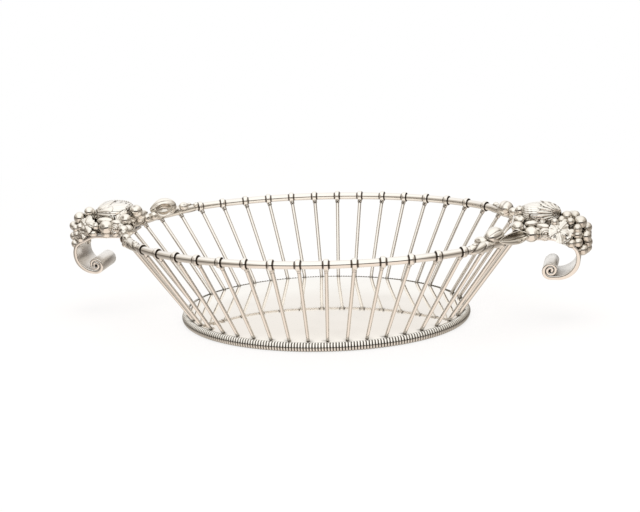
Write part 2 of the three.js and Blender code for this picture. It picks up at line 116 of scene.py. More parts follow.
def within(value, low=0, high=1):
    return min(max(value, low), high)


def skin(bm, columns, rows, place, tarnish_and_shade=None):
    """A net of cells. Each corner lies where place(s, t) says, with s and t from 0 to 1."""
    layer = bm.verts.layers.float["tarnish_and_shade"]
    net = bmesh.ops.create_grid(bm, x_segments=columns, y_segments=rows, size=1)["verts"]
    for vert in net:
        s = round((vert.co.x + 1) / 2 * columns) / columns
        t = round((vert.co.y + 1) / 2 * rows) / rows
        vert.co = place(s, t)
        if tarnish_and_shade:
            vert[layer] = tarnish_and_shade(s, t)
    return net


def added(items, before):
    return [item for item in items if item not in before]


def leaf_skin(bm, columns, rows, place, wall, tarnish_and_shade=None, closed=False):
    """A net with a wall, like a leaf cut from sheet. A closed one meets itself."""
    verts_before, faces_before = set(bm.verts), set(bm.faces)
    net = skin(bm, columns, rows, place, tarnish_and_shade)
    if closed:
        bmesh.ops.remove_doubles(bm, verts=net, dist=1e-3)
    faces = added(bm.faces, faces_before)
    bmesh.ops.recalc_face_normals(bm, faces=faces)
    bmesh.ops.solidify(bm, geom=faces, thickness=wall)
    return added(bm.verts, verts_before)


def spun(bm, section, steps, matrix):
    """A turned form. Its section, as (radius, height, tarnish and painted shade), turns round its
    own Z.
    """
    layer = bm.verts.layers.float["tarnish_and_shade"]
    before = set(bm.verts)
    verts = [bm.verts.new((radius, 0, height)) for radius, height, level in section]
    for vert, spot in zip(verts, section):
        vert[layer] = spot[2]
    edges = [bm.edges.new(pair) for pair in zip(verts, verts[1:])]
    bmesh.ops.spin(bm, geom=verts + edges, cent=(0, 0, 0), axis=(0, 0, 1),
                   angle=2 * math.pi, steps=steps, use_merge=True)
    turned = added(bm.verts, before)
    bmesh.ops.transform(bm, matrix=matrix, verts=turned)
    bmesh.ops.remove_doubles(bm, verts=turned, dist=1e-4)


def facing(point, axis, roll=0.0):
    """Matrix that puts a form's own Z along axis, with its origin at point."""
    turn = Vector(axis).normalized().to_track_quat("Z", "Y").to_matrix().to_4x4()
    return Matrix.Translation(Vector(point)) @ turn @ Matrix.Rotation(roll, 4, "Z")


def ball(bm, point, radii, axis=(0, 0, 1), dimple=0.0, seams=0, sides=20, rings=12):
    """A fruit: an egg whose top is drawn in for a stalk, with seams like a plum's."""
    layer = bm.verts.layers.float["tarnish_and_shade"]
    seam_width, seam_depth, stalk_width = 0.22, 0.07, 0.05
    verts = bmesh.ops.create_uvsphere(bm, u_segments=sides, v_segments=rings, radius=1)["verts"]
    for vert in verts:
        x, y, z = vert.co
        seam = 0
        if seams:
            off_seam = abs(math.sin(seams * math.atan2(y, x) / 2))
            seam = max(1 - off_seam / seam_width, 0) * math.hypot(x, y) ** 0.5
        drop = math.exp(-((x * x + y * y) / stalk_width)) if z > 0 else 0
        slim = 1 - seam_depth * seam
        vert.co = (x * radii[0] * slim, y * radii[1] * slim, (z - dimple * drop) * radii[2])
        # Tarnish and painted shade in the seams and the stalk's pit.
        vert[layer] = max(0.8 * seam, min(drop * dimple * 5, 0.8))
    bmesh.ops.transform(bm, matrix=facing(point, axis), verts=verts)


def edge_leaf(bm, matrix, length, lobes):
    """A vine leaf along its own X from the stalk, lobed at its sides, veined, cupped and curled."""
    width, wall = length * 0.62, 0.7
    notch, curl, cup, vein = 0.35, 0.16, 0.2, 0.4

    def place(s, t):
        side = 2 * t - 1
        wave = abs(math.sin(math.pi * lobes * 0.5 * s + 0.35))
        half = width / 2 * math.sin(math.pi * within(s, 0.012, 0.988) ** 0.72) ** 0.62
        half *= 1 - notch + notch * wave
        x = length * (s + 0.1 * abs(side) * (0.5 - s))
        rib = math.exp(-(side / 0.1) ** 2) * (1 - s) ** 0.3
        branch = math.cos(math.pi * (lobes * (s - 0.55 * abs(side)) * 2 + 0.2))
        ridge = max(branch, 0) ** 6 * (1 - abs(side)) ** 0.4 * min(abs(side) * 5, 1)
        z = cup * width * side ** 2 * math.sin(math.pi * s) - curl * length * (s - 0.3) ** 2
        z += vein * (rib + 0.75 * ridge) + 0.25 * vein * math.cos(9 * side + 6 * s)
        return Vector((x, half * side, z))
    grown = leaf_skin(bm, 30, 22, place, wall)
    bmesh.ops.transform(bm, matrix=matrix, verts=grown)


def rope(bm, points, radii, sides=12):
    """A round stem along a few points, tapered, with closed ends."""
    count = 8 * (len(points) - 1)
    end_share = 0.02

    def spot(s):
        """Place and radius at a share of the way, on a smooth curve through the points."""
        along = within(s) * (len(points) - 1)
        i = min(int(along), len(points) - 2)
        part = along - i
        before, after = points[max(i - 1, 0)], points[min(i + 2, len(points) - 1)]
        a, b = Vector(points[i]), Vector(points[i + 1])
        slope_a, slope_b = (b - Vector(before)) / 2, (Vector(after) - a) / 2
        square, cube = part * part, part ** 3
        place = a * (2 * cube - 3 * square + 1) + slope_a * (cube - 2 * square + part)
        place += b * (3 * square - 2 * cube) + slope_b * (cube - square)
        return place, radii[i] + (radii[i + 1] - radii[i]) * part

    def place(s, t):
        here, radius = spot(s)
        ahead = (spot(s + 0.01)[0] - spot(s - 0.01)[0]).normalized()
        side = ahead.cross(UP if abs(ahead.z) < 0.95 else Vector((1, 0, 0))).normalized()
        lift = side.cross(ahead)
        end = end_share if s in (0, 1) else 1
        angle = 2 * math.pi * t
        return here + (side * math.cos(angle) + lift * math.sin(angle)) * radius * end
    verts = skin(bm, count, sides, place)
    bmesh.ops.remove_doubles(bm, verts=verts, dist=1e-3)


made_pieces = []


def piece(name, bm, nodes, material, crease=40, turn=0.0):
    """Closes the form, brings it to metres, and makes it stand for its nodes."""
    bmesh.ops.remove_doubles(bm, verts=bm.verts, dist=2e-3)
    loose = [edge for edge in bm.edges if len(edge.link_faces) == 1]
    if loose:
        bmesh.ops.holes_fill(bm, edges=loose, sides=0)
    bmesh.ops.recalc_face_normals(bm, faces=bm.faces)
    to_frame = Matrix.Rotation(turn, 4, "Z") @ Matrix.Scale(METRE, 4)
    bmesh.ops.transform(bm, matrix=to_frame, verts=bm.verts)
    mesh = bpy.data.meshes.new(name)
    bm.to_mesh(mesh)
    bm.free()
    mesh.shade_smooth()
    mesh.set_sharp_from_angle(angle=math.radians(crease))
    mesh.materials.append(material)
    thing = bpy.data.objects.new(name, mesh)
    bpy.context.scene.collection.objects.link(thing)
    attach(thing, "root")
    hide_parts(*nodes)
    made_pieces.append(thing)


# ---- finishes ----

class Signal:
    """A shader value that takes part in sums."""

    def __init__(self, graph, socket):
        self.graph, self.socket = graph, socket

    def __add__(self, other):
        return self.graph.maths("ADD", self, other)

    __radd__ = __add__

    def __mul__(self, other):
        return self.graph.maths("MULTIPLY", self, other)

    __rmul__ = __mul__

    def __sub__(self, other):
        return self.graph.maths("SUBTRACT", self, other)

    def __rsub__(self, other):
        return self.graph.maths("SUBTRACT", other, self)

    def clamped(self):
        settings = {"operation": "MULTIPLY", "use_clamp": True}
        return self.graph.node("ShaderNodeMath", settings, [self, 1.0])


class Graph:
    """The nodes of one material or of the world."""

    def __init__(self, owner):
        owner.use_nodes = True
        self.tree = owner.node_tree
        self.tree.nodes.clear()

    def node(self, kind, settings=None, values=None, output=0):
        """Adds a node. A value that is a Signal is linked, and any other is set on the socket."""
        made = self.tree.nodes.new(kind)
        for key, value in (settings or {}).items():
            if key == "stops":
                ramp = made.color_ramp
                while len(ramp.elements) > 1:
                    ramp.elements.remove(ramp.elements[-1])
                for i, (position, colour) in enumerate(value):
                    stop = ramp.elements[0] if i == 0 else ramp.elements.new(position)
                    stop.position, stop.color = position, (*colour, 1)
            else:
                setattr(made, key, value)
        pairs = values.items() if isinstance(values, dict) else enumerate(values or [])
        for key, value in pairs:
            if isinstance(value, Signal):
                self.tree.links.new(value.socket, made.inputs[key])
            else:
                made.inputs[key].default_value = value
        if made.outputs:
            return Signal(self, made.outputs[output])
        return made

    def mix(self, factor, first, second):
        """Mixes two colours. Sockets 0, 6 and 7, and output 2, are those that a colour mix uses."""
        colours = {0: factor, 6: first, 7: second}
        return self.node("ShaderNodeMix", {"data_type": "RGBA"}, colours, 2)

    def maths(self, operation, *values):
        return self.node("ShaderNodeMath", {"operation": operation}, values)

    def vector_maths(self, operation, *values):
        return self.node("ShaderNodeVectorMath", {"operation": operation}, values, 1)

    def fade(self, value, start, end, low, high):
        """A smooth change from low to high while value goes from start to end."""
        ends = {"Value": value, "From Min": start, "From Max": end, "To Min": low, "To Max": high}
        return self.node("ShaderNodeMapRange", {"interpolation_type": "SMOOTHSTEP"}, ends)


OBJECT_COORDINATES, WORLD_DIRECTION = 3, 0
ATTRIBUTE_NUMBER = 2
IS_CAMERA_RAY, IS_GLOSSY_RAY = 0, 3


def silver(name, bright, shade, gloss, grain, bump, haze=0.16):
    """Polished silver, darkened and dulled where painted shade and tarnish are marked, with a
    random cloudy tone.
    """
    cloud_scale, cloud_share, scratch_share = 38.0, 0.25, 0.05
    material = bpy.data.materials.new(name)
    graph = Graph(material)
    place = graph.node("ShaderNodeTexCoord", output=OBJECT_COORDINATES)
    painted_shade_level = graph.node("ShaderNodeAttribute", {"attribute_name": "occlusion_shade_and_tarnish"},
                           output=ATTRIBUTE_NUMBER)
    cloud = graph.node("ShaderNodeTexNoise", None,
                       {"Vector": place, "Scale": cloud_scale, "Detail": 4.0})
    fine = graph.node("ShaderNodeTexNoise", None, {"Vector": place, "Scale": grain, "Detail": 3.0})
    # Painted shade: the marked shade and tarnish darken the colour towards shade and raise
    # roughness.
    shade_and_dulling = (painted_shade_level * 1.3 + (cloud - 0.5) * cloud_share).clamped()
    colour = graph.mix(shade_and_dulling, (*bright, 1), (*shade, 1))
    roughness = gloss + shade_and_dulling * haze + fine * scratch_share
    relief = graph.node("ShaderNodeBump", None,
                        {"Strength": bump, "Distance": 0.0002, "Height": fine})
    shader = graph.node("ShaderNodeBsdfPrincipled", None, {
        "Base Color": colour, "Metallic": 1.0, "Roughness": roughness, "Normal": relief})
    graph.node("ShaderNodeOutputMaterial", None, [shader])
    return material


BRIGHT = (0.93, 0.895, 0.845)
wrought = silver("polished_wire", BRIGHT, (0.1, 0.08, 0.062),
                 gloss=0.02, grain=900.0, bump=0.03)
sheet = silver("polished_sheet", BRIGHT, (0.16, 0.145, 0.13),
               gloss=0.03, grain=700.0, bump=0.03)
reeded = silver("polished_reeds", (1.0, 0.985, 0.945), (0.16, 0.145, 0.115),
                gloss=0.03, grain=900.0, bump=0.03)
satin = silver("satin_strap", BRIGHT, (0.38, 0.385, 0.395),
               gloss=0.03, grain=700.0, bump=0.05, haze=0.85)
# A lighter copy of the satin finish, for the left strap: painted light.
painted_lighter_satin = silver("satin_strap_painted_lighter", BRIGHT, (0.74, 0.74, 0.76),
                    gloss=0.03, grain=700.0, bump=0.05, haze=0.95)
melon_silver = silver("cast_melon", (0.96, 0.935, 0.89), (0.16, 0.135, 0.11),
                      gloss=0.04, grain=1100.0, bump=0.08)
cast = silver("cast_fruit", (0.92, 0.885, 0.825), (0.15, 0.122, 0.092),
              gloss=0.04, grain=1300.0, bump=0.1)
# A darker copy of the cast finish, for the right grapes: painted shade.
painted_darker_cast = silver("cast_grapes_painted_darker", (0.835, 0.79, 0.72), (0.105, 0.082, 0.06),
                  gloss=0.04, grain=1300.0, bump=0.1)


# ---- rim, plate and foot ----

def rod_ring(share, out, up):
    """Point beside the rod's middle line, at a share of the way round the rim."""
    point, outward = rim_oval.place(share)
    return point + outward * out + UP * (RIM_HEIGHT + up)


def around_rod(share, radius, t):
    """Point at a radius from the rod's middle line, with t going once round the rod."""
    turn = 2 * math.pi * t
    return rod_ring(share, radius * math.cos(turn), radius * math.sin(turn))


def make_rim_rod():
    """The rod, with painted shade along its underside, and tarnish with painted shade beside each
    collar.
    """
    cells_per_bay, sides = 40, 24
    underside, dark_beside, fades_over = 0.93, 0.6, 0.5

    def place(s, t):
        return around_rod(s, ROD_RADIUS, t)

    def collar_and_underside_shade(s, t):
        away = abs((s * UPRIGHTS + 0.5) % 1 - 0.5) * RIM_BAY
        # Painted shade along the rod's underside.
        underside_shade = max(-math.sin(2 * math.pi * t) - underside, 0) * 8
        return max(underside_shade, 1 - max(away - COLLAR_HALF - dark_beside, 0) / fades_over)
    bm = blank()
    skin(bm, UPRIGHTS * cells_per_bay, sides, place, collar_and_underside_shade)
    piece("rim_rod_round", bm, ["rim_rod"], wrought)


def plate_top(x, y):
    """Height of the plate's top: a full dome that falls off just inside its edge."""
    reach = min(math.hypot(x / PLATE_HALF[0], y / PLATE_HALF[1]), 1)
    return PLATE_EDGE_TOP + DOME_HEIGHT * (1 - 0.9 * reach ** DOME_FULLNESS - 0.1 * reach ** 18)


def make_plate():
    """The plate, turned round and then stretched to its oval."""
    rings, sides = 60, 168
    shoulder, corner = 0.9935, 0.9968
    heights = [(i / rings, plate_top(i / rings * PLATE_HALF[0], 0)) for i in range(rings)]
    top = [(reach, height, 0.0) for reach, height in heights]
    # Painted shade down the plate's edge, where it meets the band, and under it.
    edge = [(shoulder, plate_top(shoulder * PLATE_HALF[0], 0), 0.0),
            (corner, PLATE_EDGE_TOP, 0.15), (1, PLATE_EDGE_TOP - 0.3, 0.4),
            (1, PLATE_EDGE_TOP - 0.9, 1.0), (corner, PLATE_EDGE_TOP - PLATE_THICKNESS, 1.0)]
    under = [(reach, height - PLATE_THICKNESS, 0.3) for reach, height in reversed(heights)]
    bm = blank()
    spun(bm, top + edge + under, sides, Matrix.Diagonal((*PLATE_HALF, 1, 1)))
    piece("domed_plate", bm, ["base_plate"], sheet, crease=60)


# The band's section over its top, as (out from the oval, up, share of the groove cut there).
BAND_SECTION = [
    (-BAND_DEPTH, 0, 0), (-BAND_DEPTH, 5.9, 0.2), (-3.6, 6.35, 0.6), (-2.9, 6.5, 0.9),
    (-2.0, 6.35, 1), (-1.25, 5.85, 1), (-0.7, 5.15, 1), (-0.3, 4.3, 1), (-0.02, 3.4, 1),
    (0, 3.2, 1), (0, 2.7, 1), (-0.2, 1.9, 1), (-0.6, 1.1, 1), (-1.1, 0.45, 1), (-1.7, 0, 1),
]
BAND_BELLY = 2.9


def make_band():
    """The reeded foot. Each reed swells between two grooves, which are darkened with tarnish and
    painted shade, and the far side's top has painted shade.
    """
    cells_per_reed = 8

    def groove(s):
        return 1 - abs(math.sin(math.pi * s * REEDS)) ** 0.5

    def section(t):
        return BAND_SECTION[round(t * len(BAND_SECTION)) % len(BAND_SECTION)]

    def place(s, t):
        point, outward = band_oval.place(s)
        out, up, share = section(t)
        cut = REED_DEPTH * groove(s) * share
        above = within((up - BAND_BELLY) / BAND_BELLY, -0.3)
        out -= cut * (1 - 0.5 * abs(above))
        return point + outward * out + UP * max(up - cut * above * 0.9, 0)

    def groove_and_far_shade(s, t):
        up, share = section(t)[1:]
        # Tarnish and painted shade in the grooves.
        dark = within((groove(s) - 0.12) * 2.4, 0, 0.92) * min(share * 1.3, 1)
        # Painted shade along the top of the band's far side.
        far_top_shade = within(band_oval.place(s)[1].y * 2, 0, 0.85) if up > 5 else 0
        return max(dark, far_top_shade)
    bm = blank()
    skin(bm, REEDS * cells_per_reed, len(BAND_SECTION), place, groove_and_far_shade)
    piece("reeded_band", bm, ["reeded_foot_band"], reeded, crease=75)


def collar_section():
    """A closed ring of (radius, along the rod, tarnish and painted shade): lips and flanks darkened
    by tarnish and painted shade, a bright crown.
    """
    half, crown, bore = COLLAR_HALF, COLLAR_RADIUS, ROD_RADIUS + 0.02
    flank = [(bore, half, 1), (bore + 0.25, half, 1), (bore + 0.3, half - 0.16, 1),
             (crown - 0.5, half - 0.18, 0.9), (crown - 0.24, half - 0.26, 0.2),
             (crown - 0.1, half - 0.5, 0), (crown - 0.02, half - 0.95, 0), (crown, 0, 0)]
    far_flank = [(radius, -along, level) for radius, along, level in reversed(flank[:-1])]
    return flank + far_flank + [flank[0]]


def wire_section(run, top):
    """A wire of length run and the socket over it, up to top, as (radius, height, tarnish and
    painted shade).
    """
    neck = WIRE_RADIUS * 0.93
    # Painted shade at the wire's foot on the plate, and tarnish with painted shade at the neck
    # under the socket.
    wire = [(0, 0.4), (0.4, 0.4), (0.9, 0.3), (1.6, 0.1), (3, 0), (6, 0), (12, 0), (run / 2, 0),
            (run - 8, 0), (run - 3, 0), (run - 1.2, 0), (run - 0.4, 0.2)]
    socket = [(neck, run - 0.12, 1), (neck, run, 1), (SOCKET_RADIUS - 0.1, run + 0.04, 0.5),
              (SOCKET_RADIUS, run + 0.25, 0), (SOCKET_RADIUS, top, 0), (0, top, 0)]
    return [(0, 0, 0.4), *[(WIRE_RADIUS, height, level) for height, level in wire], *socket]


def make_upright(number):
    """Collar round the rod, socket below it, and the wire that leans in to the foot."""
    share = number / UPRIGHTS
    rim, outward = rim_oval.place(share)
    head = rim + UP * RIM_HEIGHT
    foot = feet_oval.place(share)[0]
    foot.z = plate_top(foot.x, foot.y) + 0.02
    lean = (head - foot).normalized()
    collar_sides, wire_sides = 24, 16
    bm = blank()
    taller = Matrix.Diagonal((1, COLLAR_STRETCH, 1, 1))
    spun(bm, collar_section(), collar_sides, facing(head, UP.cross(outward)) @ taller)
    socket_end = head - lean * ((ROD_RADIUS + SOCKET_DROP) / lean.z)
    socket_top = head - lean * (ROD_RADIUS * 0.9)
    run = (socket_end - foot).length
    top = run + (socket_top - socket_end).length
    spun(bm, wire_section(run, top), wire_sides, facing(foot, lean))
    label = f"{number + 1:02d}"
    piece(f"collared_upright_{label}", bm, [f"upright_{label}"], wrought)


# ---- handle ----

def strap_line(level_run, bend_radius, return_run):
    """A strap's middle line as (u, z, heading, travelled), from under the rim into its roll."""
    # A leg is (straight run, 0, 0) or (0, radius of the bend, degrees downwards).
    arch = [(level_run, 0, 0), (0, 16.4, 25.5), (9.8, 0, 0), (0, 6.8, 46.5)]
    turn_under = [(0, bend_radius, 108), (return_run, 0, 0)]
    roll = [(0, 4.7, 180), (0, 3.55, 180), (0, 2.4, 180), (0, 1.25, 170)]
    u = RIM_LENGTH / 2 - STRAP_UNDER_RIM
    z = RIM_HEIGHT - ROD_RADIUS - SEAT - STRAP_THICKNESS / 2
    heading = travelled = 0.0
    line = [(u, z, heading, travelled)]
    for run, radius, turn in arch + turn_under + roll:
        steps = max(2, round(turn / 6)) if radius else max(2, round(run / 1.5))
        bend = math.radians(turn) / steps
        stride = 2 * radius * math.sin(bend / 2) if radius else run / steps
        for _ in range(steps):
            u += stride * math.cos(heading - bend / 2)
            z += stride * math.sin(heading - bend / 2)
            heading -= bend
            travelled += stride
            line.append((u, z, heading, travelled))
    return line


STRAP_LINES = {"right": strap_line(21.7, 14.6, 4.9), "left": strap_line(24.4, 14.3, 1.2)}


def on_strap(travelled, over=0.0):
    """Point over the right strap's fruit side, and the direction away from it."""
    line = STRAP_LINES["right"]
    i = max(next(k for k, spot in enumerate(line) if spot[3] >= travelled), 1)
    (u0, z0, h0, t0), (u1, z1, h1, t1) = line[i - 1], line[i]
    share = (travelled - t0) / (t1 - t0)
    heading = h0 + (h1 - h0) * share
    rise = Vector((-math.sin(heading), 0, math.cos(heading)))
    middle = Vector((u0 + (u1 - u0) * share, 0, z0 + (z1 - z0) * share))
    return middle + rise * (STRAP_THICKNESS / 2 + over), rise


def strap_form(bm, line):
    """The strap: narrower towards its roll, and thicker where it turns under."""
    half, thick = STRAP_WIDTH / 2, STRAP_THICKNESS / 2
    narrows_by, outer_swell, inner_swell = 0.15, 0.8, 0.35
    corners = []
    for cx, cz, start in ((1, 1, 0), (-1, 1, 90), (-1, -1, 180), (1, -1, 270)):
        for k in range(4):
            angle = math.radians(start + 30 * k)
            corners.append((cx * (half - STRAP_ROUNDING) + STRAP_ROUNDING * math.cos(angle),
                            cz * (thick - STRAP_ROUNDING) + STRAP_ROUNDING * math.sin(angle)))
    count = len(line) - 1

    def corner(t):
        return corners[round(t * len(corners)) % len(corners)]

    def place(s, t):
        u, z, heading, travelled = line[round(s * count)]
        across, rise = corner(t)
        across *= 1 - narrows_by * min(travelled / ROLL_STARTS, 1)
        if rise > 0:
            turned_under = within((-math.degrees(heading) - 60) / 60)
            rise += outer_swell * turned_under * within((ROLL_STARTS + 14 - travelled) / 8)
        else:
            rise -= inner_swell * min(travelled / 20, 1) * within((ROLL_STARTS - travelled) / 8)
        return Vector((u - math.sin(heading) * rise, across, z + math.cos(heading) * rise))

    def inside(s, t):
        """Painted shade: the strap's inner side darkens towards the roll, and so does its fruit
        side near the roll. Its edges stay bright.
        """
        travelled = line[round(s * count)][3]
        across, rise = corner(t)
        if abs(across) > half - 0.1:
            return 0.0
        if rise < 0:
            return 0.06 + 0.28 * min(travelled / ROLL_STARTS, 1) ** 3
        return 0.2 * within((travelled / ROLL_STARTS - 0.95) * 8)
    skin(bm, count, len(corners), place, inside)


MELON_MIDDLE = Vector((163, 0, 78.5))
MELON_LENGTH, MELON_GIRTH = 27.4, 17.4
MELON_RIBS = 30
# How fast the melon fills out from its ends. A smaller number is fuller.
INNER_END = 0.42
OUTER_END = {"right": 0.95, "left": 0.58}
MELON_SEATS = {
    "right": Matrix.Identity(4),
    "left": Matrix.Translation((0, -4.4, 0)) @ Matrix.Diagonal((1, 1.38, 1, 1)),
}
MELON_BEADS = {"right": 0, "left": 17}
# Flutes of the fan at the melon's outer end: how many, how deep, and how much tarnish and painted
# shade between.
FANS = {"right": (17, 1.25, 1.15), "left": (8, 0.62, 1.3)}
FAN_SPAN = 16.2


def melon_skin(hand, angle, turn, rise=0.0):
    """Point on the melon. Its angle runs from inner to outer end, and turn goes round it."""
    fullness = INNER_END if angle < math.pi / 2 else OUTER_END[hand]
    radius = (MELON_GIRTH / 2 + rise) * max(math.sin(angle), 0) ** fullness
    along = -(MELON_LENGTH / 2 + rise) * math.cos(angle)
    return MELON_MIDDLE + Vector((along, radius * math.cos(turn), radius * math.sin(turn)))


def melon_form(bm, hand):
    """A ribbed melon along the handle. Its ribs end in notches at the inner end."""
    rib_height, notch_height, wave_height, nick_depth = 0.2, 0.9, 0.07, 0.7

    def nick(s, t):
        """The nicks along the top of the left melon."""
        beside = (360 * t - 90) / 8
        return math.exp(-beside ** 2) * max(math.sin(56 * s), 0) ** 2 if hand == "left" else 0.0

    def place(s, t):
        angle = math.pi * within(s, 0.002, 0.998)
        rib = abs(math.sin(MELON_RIBS * math.pi * t)) ** 0.8
        wave = math.sin(26 * angle + 5 * math.sin(6 * t))
        rise = rib_height * rib + notch_height * max(1 - s / 0.22, 0) * (rib - 0.5)
        rise += wave_height * wave - nick_depth * nick(s, t)
        return melon_skin(hand, angle, 2 * math.pi * t, rise)

    def between_ribs(s, t):
        # Tarnish and painted shade between the ribs, at the notched inner end and in the nicks.
        seam = max(0.22 - abs(math.sin(MELON_RIBS * math.pi * t)), 0) / 0.22
        inner_end = 0.4 * max(0.06 - s, 0) / 0.06
        return (0.22 + 0.5 * max(1 - s / 0.2, 0)) * seam + inner_end + 0.9 * nick(s, t)
    net = skin(bm, 48, MELON_RIBS * 6, place, between_ribs)
    bmesh.ops.transform(bm, matrix=MELON_SEATS[hand], verts=net)
    for k in range(MELON_BEADS[hand]):
        bead = melon_skin(hand, math.pi * (0.12 + 0.047 * k), math.radians(113), -0.1)
        ball(bm, MELON_SEATS[hand] @ bead, (0.8, 0.9, 1.3), sides=12, rings=8)


def fan_form(bm, hand):
    """A fluted fan leaf, spread from its hinge at the melon's outer end over the melon."""
    flutes, depth, dark = FANS[hand]
    girth, half_length = MELON_GIRTH / 2, MELON_LENGTH / 2
    wall = 0.7

    def upward(turn):
        """How far a meridian of the melon points up, with the fan tipped back a little."""
        return math.sin(math.radians(164.5) - (turn if math.cos(turn) < 0 else math.pi - turn))

    def spread(turn, angle):
        """Direction of a point of the fan as it is seen from the hinge."""
        lift = girth * max(math.sin(angle), 0) ** OUTER_END[hand] * upward(turn)
        return math.atan2(lift, half_length * (1 + math.cos(angle)) + 0.3)

    def lay(s, t):
        """Where a corner lies: turn, angle, how far out from the hinge, and how near a crest."""
        turn, out = 2 * math.pi * t, 1 - abs(2 * s - 1)
        high = upward(turn)
        if high > -0.1:
            edge = math.sqrt(FAN_SPAN ** 2 - (girth * high) ** 2)
        else:
            edge = FAN_SPAN * (1 + max(-0.75, (high + 0.1) * 1.1))
        rough = math.acos(within(edge / half_length - 1, -1))
        frayed = 0.9 + 0.1 * abs(math.sin(flutes * spread(turn, rough)))
        angle = math.pi - (math.pi - rough) * frayed * out - 0.01
        return turn, angle, out, abs(math.sin(flutes * spread(turn, angle)))

    def place(s, t):
        turn, angle, out, crest = lay(s, t)
        flute = (crest ** 0.7 - 0.6) * depth * min(out * 3, 1)
        rise = depth * (0.28 + max(out - 0.8, 0)) + flute
        return melon_skin(hand, angle, turn, rise - wall if s > 0.5 else rise)

    def in_flute(s, t):
        # Tarnish and painted shade between the flutes, and painted shade towards the hinge.
        out, crest = lay(s, t)[2:]
        between = min(max(0.5 - crest, 0) * 2.4, 0.9) * min(out * 3, 1)
        return (between + 0.3 * max(0.5 - out, 0)) * dark
    net = skin(bm, 64, 216, place, in_flute)
    bmesh.ops.transform(bm, matrix=MELON_SEATS[hand], verts=net)


def palm_leaf(bm, matrix, radius):
    """A vine leaf: five lobes, a raised vein down each, and an edge that bends back."""
    lobes = ((0, 1.0), (64, 0.95), (-64, 0.95), (132, 0.8), (-132, 0.8))
    half_lobe, droop, wall = 34, 0.07, 0.7

    def polar(t):
        """Direction, length of the leaf in it, and degrees from the middle of its lobe."""
        angle = 360 * t - 180
        gaps = [(size, (angle - middle + 180) % 360 - 180) for middle, size in lobes]
        reach, off = max((size * (1 - 0.24 * (abs(gap) / half_lobe) ** 2), gap)
                         for size, gap in gaps)
        turn = math.radians(angle)
        return turn, max(reach, 0.74) * (1 + 0.04 * math.sin(turn * 24)), off

    def place(s, t):
        angle, reach, off = polar(t)
        vein = math.exp(-(off * s / 4.5) ** 2) * min(s * 5, 1)
        side_vein = 0.5 + 0.5 * math.cos(abs(off) * 0.35 - s * 14)
        z = 0.06 * math.sin(math.pi * min(s * 1.2, 1)) - droop * s * s
        z += 0.028 * vein + 0.01 * side_vein * s - 0.05 * s * (abs(off) / half_lobe) ** 2
        return Vector((reach * s * math.cos(angle), reach * s * math.sin(angle), z)) * radius

    def beside_vein(s, t):
        # Tarnish and painted shade beside the veins, and in small pits near the heart.
        off = abs(polar(t)[2])
        pit = math.exp(-((s - 0.2) / 0.05) ** 2) * max(1 - abs(off - 24) / 12, 0)
        return 0.16 * math.exp(-((off * s - 6.5) / 3.5) ** 2) * min(s * 4, 1) + 0.8 * pit
    grown = leaf_skin(bm, 20, 120, place, wall, beside_vein, closed=True)
    bmesh.ops.transform(bm, matrix=matrix, verts=grown)
    heart = matrix @ Vector((0, 0, 0.35))
    ball(bm, heart, (1.3, 1.3, 0.7), matrix.to_3x3() @ UP, sides=12, rings=8)


def rosebud(bm, point, axis, radius):
    """A bud from above: petals wrapped one inside the other."""
    def place(s, t):
        turn = 2 * math.pi * t
        wrap = s * 3.2 + t
        ridge = abs(math.sin(math.pi * wrap)) ** 0.6
        height = 0.62 * math.sqrt(max(1 - s * s, 0)) * (0.72 + 0.28 * ridge)
        return Vector((1.12 * s * math.cos(turn), s * math.sin(turn), height - 0.2)) * radius
    net = skin(bm, 26, 40, place)
    bmesh.ops.transform(bm, matrix=facing(point, axis, 0.5), verts=net)


def pod(bm, point, along, radii, hollow):
    """A fruit cast hollow: an egg along the rod, with an oval mouth that faces `hollow`."""
    layer = bm.verts.layers.float["tarnish_and_shade"]
    lip, bowl_depth, fold_width, fold_depth = 0.78, 3.2, 0.2, 0.06
    across = Vector(hollow).normalized()
    along = (Vector(along) - across * across.dot(Vector(along))).normalized()
    verts = bmesh.ops.create_uvsphere(bm, u_segments=48, v_segments=40, radius=1)["verts"]
    for vert in verts:
        x, y, z = vert.co
        taper = 1 - 0.38 * max(-x, 0) ** 1.5
        fold = max(1 - abs(math.sin(2.5 * math.atan2(y, z) + 0.6)) / fold_width, 0)
        # Tarnish and painted shade inside the mouth and in the folds.
        if z > lip:
            vert[layer] = 0.2
            z = lip - (z - lip) * bowl_depth
            fold = 0
        else:
            vert[layer] = 0.7 * fold
        slim = taper * (1 - fold_depth * fold)
        vert.co = (x * radii[0], y * radii[1] * slim, z * radii[2] * slim)
    turn = Matrix((along, across.cross(along), across)).transposed().to_4x4()
    bmesh.ops.transform(bm, matrix=Matrix.Translation(Vector(point)) @ turn, verts=verts)


def rod_leaf(bm, side, start, end):
    """A leaf rolled round the rod, with slanting folds, and thin at both of its ends."""
    def share(s):
        return side * (start + (end - start) * s) / UPRIGHTS

    def fold(s, t):
        return abs(math.sin(math.pi * (3 * t + 2.2 * s)))

    def place(s, t):
        full = min((1 - s) * 5, 1) ** 0.5 * min(0.1 + 2.5 * s, 1)
        radius = ROD_RADIUS + 0.12 + full * (0.25 + 0.65 * fold(s, t) ** 0.6)
        return around_rod(share(s), radius, t)

    def in_fold(s, t):
        # Tarnish and painted shade in the folds.
        return max(1 - fold(s, t) / 0.45, 0) * 0.9

    def lining(s, t):
        return around_rod(share(s), ROD_RADIUS + 0.02, t)
    skin(bm, 80, 40, place, in_fold)
    skin(bm, 80, 40, lining)


